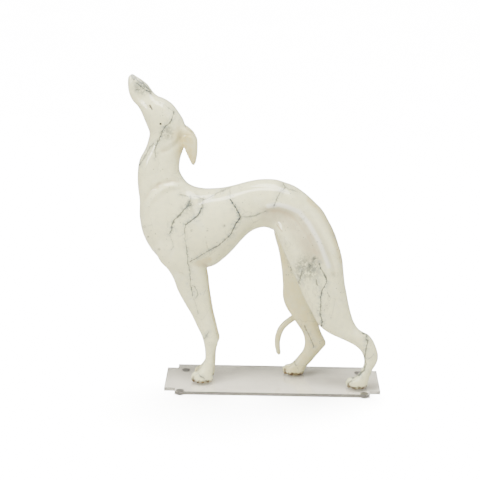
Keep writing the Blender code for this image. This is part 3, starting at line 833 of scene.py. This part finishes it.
def veinMasks(paint, place, flat, across):
    # how dark the veins are, and how grey the smudges round them
    s = veinSettings
    middle = greyhoundSettings["across"]
    slow = paint.drift(place, 55, 2, 0.5)
    quick = paint.drift(place, 230, 3, 0.6)
    far = across.between(middle - s["edge"], middle + s["edge"])
    bent = paint.vector("ADD", flat, paint.scaled(s["farShift"], far))
    for drift, amount in ((slow, s["warp"]), (quick, s["fineWarp"])):
        stretch = (4 * amount, 0, 4 * amount)
        bent = paint.vector("ADD", bent, paint.vector("MULTIPLY", drift, stretch))
    thick = paint.noise(place, 130, 2, 0.5).between(0.3, 0.7, 1.6, 0.6)    # thick and thin along a vein
    broken = paint.noise(place, 75, 3, 0.6).between(0.32, 0.48, 0.6, 1.0)  # and strong and weak
    smoky = paint.noise(place, 190, 4, 0.7).between(0.36, 0.56)
    mask = None
    nearest = None
    for width, strength, points in veins.values():
        away = nearestOnLine(paint, bent, points)
        vein = (away * thick).between(s["core"] * width, s["wider"] * width, strength, 0)
        reach = away.between(0, s["smudgeReach"] * width, strength, 0)
        mask = vein if mask is None else mask.larger(vein)
        nearest = reach if nearest is None else nearest.larger(reach)
    for x, z, radius, strength in blots.values():
        away = paint.vector("DISTANCE", bent, (x, 0, z), 1)
        mask = mask.larger(away.between(0.4 * radius, 1.9 * radius, strength, 0) * smoky)
    folds = (paint.noise(place, 85, 4, 0.6) - 0.5).size()
    hairs = folds.between(0.003, 0.02, 0.75, 0) * nearest * nearest
    fromCrest = (across - middle).size().between(1, s["edge"], 0.4, 1)
    smudge = nearest * paint.noise(place, 150, 5, 0.7).between(0.44, 0.64, 0.1, 0.75)
    return (mask.larger(hairs) * broken * fromCrest).kept(), (smudge * fromCrest).kept()


lacquerSettings = {
    "coat": 0.7,
    "coatRoughness": 0.04,
    "index": 1.5,
    "gleam": 0.2,
    "softness": 0.12,        # light that goes a little way into the lacquer
    "softReach": 0.004,
    "softColour": (1.0, 0.8, 0.55),
    "bump": 0.3,
    "bumpDepth": 0.0006,
    "crackCells": 34,        # mm
    "crackWander": 22,       # mm
    "speckScale": 260,
    "ragged": 12,            # mm, of the brown line's upper edge
    "wavy": 7,               # mm, of the eye and nose marks
    "cheekPit": (-194, 0, 453.9),
    "tailTip": (11, 0, 29),
}

lacquerColours = {
    "ivory": (0.84, 0.82, 0.52),
    "deep ivory": (0.79, 0.775, 0.485),
    "milky": (0.84, 0.84, 0.64),
    # painted shade in the hollows and below the haunch's ridge
    "haunch": (0.53, 0.475, 0.31),
    # warm painted shade inside the legs, on the ear, in the armpit and by the seat
    "tan": (0.60, 0.50, 0.215),
    "mottled": (0.62, 0.62, 0.42),
    "streaks": (0.47, 0.45, 0.31),
    # painted highlight along the haunch's ridge
    "ridgeHighlight": (0.87, 0.865, 0.77),
    # painted shade in the creases
    "creases": (0.50, 0.40, 0.24),
    "soles": (0.065, 0.036, 0.014),
    "eye": (0.05, 0.045, 0.04),
    "flank streak": (0.36, 0.24, 0.12),
    "lid": (0.30, 0.24, 0.15),
    "cheek pit": (0.02, 0.018, 0.016),
    "nose": (0.11, 0.115, 0.115),
    "tail tip": (0.20, 0.16, 0.10),
}

# strokes in the side view that the lacquer's colour follows; by the ear, seat, haunch and armpit it
# follows them with painted shade, along the ridge with a painted highlight
colourStrokes = {
    "ear": ((-155, 430), (-152.5, 412), (-146.5, 391)),
    "seat": ((58, 327), (80, 306), (94, 284), (107, 250), (115, 226)),
    "haunch": ((-8, 305), (14, 303), (36, 291), (55, 266), (70, 240)),
    "armpit": ((-128, 216), (-112, 222)),
    "thigh": ((20, 290), (45, 250), (66, 190), (85, 140)),
    "ridgeHighlight": ((-12, 318), (6, 321), (22, 317), (40, 309), (57, 290), (75, 260), (92, 219)),
    "eye": ((-211.8, 484), (-209.1, 478.6)),
    "flank streak": ((3.4, 285), (12, 276)),
    "lid": ((-221, 487.4), (-213, 481.5)),
    "nose": ((-243.5, 533), (-239, 526)),
}


def stainedIvory(paint, place, flat):
    c = lacquerColours
    stroke = {name: nearestOnLine(paint, flat, colourStrokes[name])
              for name in ("ear", "seat", "haunch", "armpit", "thigh", "ridgeHighlight")}
    cloudy = paint.noise(place, 16, 3, 0.5)
    ivory = paint.blend(cloudy.between(0.3, 0.7), c["ivory"], c["deep ivory"])
    milky = paint.noise(place, 38, 4, 0.65).between(0.5, 0.72, 0, 0.5)
    ivory = paint.blend(milky, ivory, c["milky"])
    cloudier = paint.noise(place, 50, 3, 0.6).between(0.2, 0.6, 0.6, 1)
    # painted shade: darker in the hollows and in a band below the haunch's ridge
    hollow = paint.attribute("hollow").between(0.3, 2.2) * 0.75
    hollowShade = hollow.larger(stroke["haunch"].between(6, 30, 1, 0))
    ivory = paint.blend(hollowShade * cloudier, ivory, c["haunch"])
    # warm painted shade on the ear, inside the legs, in the armpit and by the seat
    onEar = stroke["ear"].between(4, 20, 1, 0.35) * stroke["ear"].between(20, 23, 1, 0)
    tan = (paint.attribute("inside") * 0.6).larger(onEar)
    tan = tan.larger(stroke["armpit"].between(2, 9, 0.75, 0))
    tan = tan.larger(stroke["seat"].between(2, 8, 0.7, 0))
    ivory = paint.blend(tan * cloudier, ivory, c["tan"])
    mottled = paint.noise(place, 110, 5, 0.7).between(0.38, 0.66, 0, 0.4)
    ivory = paint.blend(mottled, ivory, c["mottled"])
    drawnOut = paint.vector("MULTIPLY", place, (1, 1, 0.3))
    streaks = paint.noise(drawnOut, 170, 4, 0.7).between(0.5, 0.62, 0, 0.5)
    ivory = paint.blend(streaks * stroke["thigh"].between(8, 34, 1, 0), ivory, c["streaks"])
    # painted highlight: lighter along the haunch's ridge
    ivory = paint.blend(stroke["ridgeHighlight"].between(1, 6, 0.75, 0), ivory, c["ridgeHighlight"])
    # painted shade: darker in the fine creases
    creases = paint.attribute("fineHollow").between(0.1, 0.5) * 0.5
    return paint.blend(creases, ivory, c["creases"])


def hairlines(paint, place, flat):
    # only here and there
    s = lacquerSettings
    stretch = (s["crackWander"], 0, s["crackWander"])
    wander = paint.vector("MULTIPLY", paint.noise(place, 40, 3, 0.6, 1), stretch)
    cells = paint.vector("ADD", flat, wander)
    cracks = paint.add("ShaderNodeTexVoronoi", {"feature": "DISTANCE_TO_EDGE"},
                       {"Vector": cells, "Scale": 1 / s["crackCells"]})
    shown = paint.noise(place, 22, 2, 0.5).between(0.5, 0.64)
    return cracks.between(0.004, 0.018, 0.25, 0) * shown


def darkSpecks(paint, place):
    # mostly in patches
    sockets = {"Vector": place, "Scale": lacquerSettings["speckScale"]}
    specks = paint.add("ShaderNodeTexVoronoi", {}, sockets)
    chosen = paint.add("ShaderNodeTexVoronoi", {}, sockets, 1)
    pick = paint.add("ShaderNodeSeparateColor", {}, {0: chosen}).between(0.86, 0.95)
    patchy = paint.noise(place, 28, 2, 0.5).between(0.45, 0.62, 0.15, 1)
    return specks.between(0.15, 0.4, 0.6, 0) * pick * patchy


def brownSoles(paint, place, flat, colour):
    # a brown line round the soles and between the toes
    height = paint.add("ShaderNodeSeparateXYZ", {}, {0: flat}, 2)
    unevenLine = paint.noise(place, 160, 3, 0.6).between(0.3, 0.6, 0.6, 1)
    ragged = height + (paint.noise(place, 210, 3, 0.6) - 0.5) * lacquerSettings["ragged"]
    soles = ragged.between(3.8, 7.0, 1, 0) * unevenLine
    parted = paint.attribute("betweenToes").between(0.1, 0.6, 0, 0.85)
    gaps = parted * ragged.between(5, 14, 1, 0.15)
    return paint.blend(soles.larger(gaps), colour, lacquerColours["soles"])


def smallMarks(paint, place, flat, across, colour):
    # the eye, lid, nose and cheek pit, the brown streak in the groin and the tail's tip
    s = lacquerSettings
    jags = paint.vector("MULTIPLY", paint.drift(place, 260, 2, 0.6), (s["wavy"], 0, s["wavy"]))
    wavy = paint.vector("ADD", flat, jags)
    for name, spot, low, high, strength in (
        ("eye", wavy, 0.4, 2.8, 0.95),
        ("flank streak", flat, 0.3, 1.7, 0.55),
        ("lid", wavy, 0.4, 1.8, 0.35),
        ("nose", wavy, 1.2, 3.4, 0.8),
    ):
        mark = nearestOnLine(paint, spot, colourStrokes[name]).between(low, high, strength, 0)
        colour = paint.blend(mark, colour, lacquerColours[name])
    pit = paint.vector("DISTANCE", flat, s["cheekPit"], 1).between(1.1, 2.8, 1, 0)
    pit = pit * across.between(-8, -5, 1, 0)
    colour = paint.blend(pit, colour, lacquerColours["cheek pit"])
    tip = paint.vector("DISTANCE", flat, s["tailTip"], 1).between(2, 6, 0.8, 0)
    return paint.blend(tip, colour, lacquerColours["tail tip"])


def ivoryLacquer():
    s = lacquerSettings
    paint = Paint("ivoryLacquer")
    place, flat, across = flatPlace(paint)
    mask, smudge = veinMasks(paint, place, flat, across)
    ivory = stainedIvory(paint, place, flat)
    mask = mask.larger(hairlines(paint, place, flat)).larger(darkSpecks(paint, place))
    colour = paint.blend(smudge, ivory, veinSettings["smudgeColour"])
    colour = paint.blend(mask, colour, veinSettings["colour"])
    colour = brownSoles(paint, place, flat, colour)
    colour = smallMarks(paint, place, flat, across, colour)
    rough = paint.noise(place, 30, 4, 0.6).between(0.35, 0.7, 0.12, 0.22) + mask * 0.05
    ripple = paint.noise(place, 45, 2, 0.5)
    pores = paint.noise(place, 700, 2, 0.5)
    bump = paint.add("ShaderNodeBump", {}, {"Strength": s["bump"], "Distance": s["bumpDepth"],
                                            "Height": ripple * 0.7 + pores * 0.05})
    return paint.finish(
        Base_Color=colour, Roughness=rough, Normal=bump, Coat_Weight=s["coat"],
        Coat_Roughness=s["coatRoughness"], IOR=s["index"], Specular_IOR_Level=s["gleam"],
        Subsurface_Weight=s["softness"], Subsurface_Scale=s["softReach"],
        Subsurface_Radius=s["softColour"],
    )


def makeGreyhound():
    s = greyhoundSettings
    item = placed("greyhoundCasting", castForm())
    remesh = item.modifiers.new("one casting", "REMESH")
    remesh.mode = "VOXEL"
    remesh.voxel_size = s["voxel"] * mm
    mesh = appliedMesh(item)
    relax(mesh, s["evenPasses"])
    fillSoftly(mesh)
    back, height, reach = s["finerPaw"]
    finerAround(mesh, [*finerSpots.values(),
                       *((toe + back, height, reach) for toe, *_ in paws.values())])
    carve(mesh)
    relax(mesh, s["carvedPasses"])
    pressMarks(mesh)
    flatSoles(mesh)
    partToes(mesh)
    markHollows(mesh, "hollow", s["hollowPasses"])
    markHollows(mesh, "fineHollow", s["fineHollowPasses"])
    markInsides(mesh)
    mesh.shade_smooth()
    mesh.materials.clear()
    mesh.materials.append(ivoryLacquer())
    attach(item, "root")
    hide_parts("greyhound")
    print("greyhound:", len(mesh.vertices), "points,", len(mesh.polygons), "faces")


acrylicSettings = {
    "tint": (0.80, 0.785, 0.74),
    "hazeTint": (0.72, 0.70, 0.65),
    "clear": 0.93,
    "index": 1.49,
    "scratchScale": 90,
}


def clearAcrylic():
    paint = Paint("clearAcrylic")
    s = acrylicSettings
    place = paint.add("ShaderNodeTexCoord", out=3)
    streaks = paint.vector("MULTIPLY", place, (0.25, 1, 1))
    haze = paint.noise(streaks, s["scratchScale"], 4, 0.6)
    rough = haze.between(0.4, 0.75, 0.03, 0.12)
    bump = paint.add("ShaderNodeBump", {}, {"Strength": 0.1, "Distance": 0.0002,
                                            "Height": paint.noise(place, 20, 2, 0.5)})
    tint = paint.blend(haze.between(0.3, 0.8), s["tint"], s["hazeTint"])
    return paint.finish(Base_Color=tint, Roughness=rough, Normal=bump, IOR=s["index"],
                        Transmission_Weight=s["clear"])


def darkRubber():
    paint = Paint("darkRubber")
    place = paint.add("ShaderNodeTexCoord", out=3)
    speckle = paint.noise(place, 900, 3, 0.6)
    dust = paint.noise(place, 120, 3, 0.6).between(0.45, 0.75)
    colour = paint.blend(dust, (0.030, 0.026, 0.023), (0.06, 0.052, 0.045))
    bump = paint.add("ShaderNodeBump", {}, {"Strength": 0.3, "Distance": 0.0001, "Height": speckle})
    return paint.finish(Base_Color=colour, Roughness=speckle.between(0.3, 0.7, 0.75, 0.9), Normal=bump,
                        Specular_IOR_Level=0.1)


def dressBase():
    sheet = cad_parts["acrylic_base"]
    sheet.data.materials.clear()
    sheet.data.materials.append(clearAcrylic())
    sheet.visible_shadow = False       # the light goes through it
    print("base dressed")


bumperSettings = {
    "points": 56,
    "intoSheet": 0.03,       # mm, so that no air shows between a stuck pad and the sheet
    "sharpFrom": 50,         # degrees
    # radius as a share of the pad's, height as a share of its height
    "profile": ((0.66, 0), (0.78, 0.03), (0.86, 0.12), (0.92, 0.28), (0.96, 0.5), (0.985, 0.75),
                (1.0, 0.9), (1.0, 1.0)),
}


def makeBumpers():
    s = bumperSettings
    rubber = darkRubber()
    sheetUnderside = plateLow.z + s["intoSheet"] * mm
    turn = fullTurn(s["points"])
    for name in sorted(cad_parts):
        if not name.startswith("pad_"):
            continue
        low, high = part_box(name)
        middle = (low + high) / 2
        radius = (high.x - low.x) / 2
        rings = [np.column_stack([middle.x + share * radius * np.cos(turn),
                                  middle.y + share * radius * np.sin(turn),
                                  np.full(len(turn), low.z + up * (sheetUnderside - low.z))])
                 for share, up in s["profile"]]
        form = bmesh.new()
        skinRings(form, rings)
        bmesh.ops.recalc_face_normals(form, faces=form.faces)
        mesh = meshFrom(form, "bumper_" + name[4:])
        mesh.shade_smooth()
        mesh.set_sharp_from_angle(angle=math.radians(s["sharpFrom"]))
        mesh.materials.append(rubber)
        item = placed(mesh.name, mesh)
        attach(item, "root")
        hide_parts(name)
    print("bumpers made")


studio = {
    "floorSize": 160,
    "brightTones": ((0.93, 0.93, 0.93), (0.95, 0.95, 0.95)),
    # darker tones: painted shade, seen through the sheet
    "shadedUnderTones": ((0.68, 0.66, 0.61), (0.74, 0.72, 0.67)),
    "underBy": 0.5,          # mm
    "worldStrength": 0.70,
    "worldColour": (1.0, 0.98, 0.89),
    "floorSun": 56,          # lights the floor alone, which the photograph shows as pure white
    "floorSunWidth": 50,
    "floorSunLean": -22,     # from behind, so that its soft shadow falls towards the camera
    "lens": 123.8,
    "cameraPlace": (0.0133, -2.7424, 0.9521),
    "down": 14.191,
    "turn": 0.841,
    "roll": 0.730,
}

lamps = {     # place, aimed at, size, power, colour
    "keySoftbox": ((-1.5, -1.4, 1.05), (0, 0, 0.35), (0.3, 1.3), 40, (1.0, 0.98, 0.90)),
    "fillSoftbox": ((1.9, -1.4, 1.3), (0, 0, 0.3), (1.2, 1.2), 7, (1.0, 0.985, 0.92)),
    "topSoftbox": ((0.0, -0.6, 2.0), (0, 0, 0.2), (1.6, 0.8), 86, (1.0, 0.985, 0.92)),
}


def makeFloor(name, tones):
    form = bmesh.new()
    bmesh.ops.create_grid(form, x_segments=8, y_segments=8, size=studio["floorSize"] / 2)
    mesh = meshFrom(form, name)
    floor = placed(name, mesh)
    paint = Paint(name + "Finish")
    place = paint.add("ShaderNodeTexCoord", out=3)
    tone = paint.noise(place, 1.5, 2, 0.5).between(0.3, 0.7)
    paint.finish(Base_Color=paint.blend(tone, *tones), Roughness=0.7)
    mesh.materials.append(paint.material)
    return floor


def makeFloors():
    # the bright floor is only seen; the one under it lights the dog and shows through the sheet, and
    # its darker tones are painted shade standing in for the sheet's shadow on the floor
    bright = makeFloor("brightFloor", studio["brightTones"])
    for way in ("diffuse", "glossy", "transmission", "shadow"):
        setattr(bright, "visible_" + way, False)
    under = makeFloor("floorUnderIt", studio["shadedUnderTones"])
    under.location.z = -studio["underBy"] * mm
    under.visible_camera = False
    under.visible_shadow = False
    sun = bpy.data.lights.new("floorSun", "SUN")
    sun.energy = studio["floorSun"]
    sun.angle = math.radians(studio["floorSunWidth"])
    item = placed("floorSun", sun)
    lit = bpy.data.collections.new("litByFloorSun")
    lit.objects.link(bright)
    item.light_linking.receiver_collection = lit
    item.rotation_euler = (math.radians(studio["floorSunLean"]), 0, 0)


def makeLights():
    world = bpy.context.scene.world or bpy.data.worlds.new("studio")
    bpy.context.scene.world = world
    world.use_nodes = True
    sky = world.node_tree.nodes["Background"]
    sky.inputs["Color"].default_value = (*studio["worldColour"], 1)
    sky.inputs["Strength"].default_value = studio["worldStrength"]
    for name, (place, aim, size, power, colour) in lamps.items():
        lamp = bpy.data.lights.new(name, "AREA")
        lamp.shape = "RECTANGLE"
        lamp.size, lamp.size_y = size
        lamp.energy = power
        lamp.color = colour
        item = placed(name, lamp)
        item.location = place
        item.rotation_mode = "QUATERNION"
        item.rotation_quaternion = (Vector(aim) - Vector(place)).to_track_quat("-Z", "Y")


def makeCamera():
    s = studio
    camera = placed("camera", bpy.data.cameras.new("camera"))
    camera.data.lens = s["lens"]
    camera.data.sensor_width = 36
    turn = Matrix.Rotation(math.radians(s["turn"]), 4, "Z")
    tilt = Matrix.Rotation(math.radians(90 - s["down"]), 4, "X")
    roll = Matrix.Rotation(math.radians(s["roll"]), 4, "Z")
    camera.matrix_world = Matrix.Translation(s["cameraPlace"]) @ turn @ tilt @ roll
    bpy.context.scene.camera = camera


makeCamera()
makeGreyhound()
dressBase()
makeBumpers()
makeFloors()
makeLights()
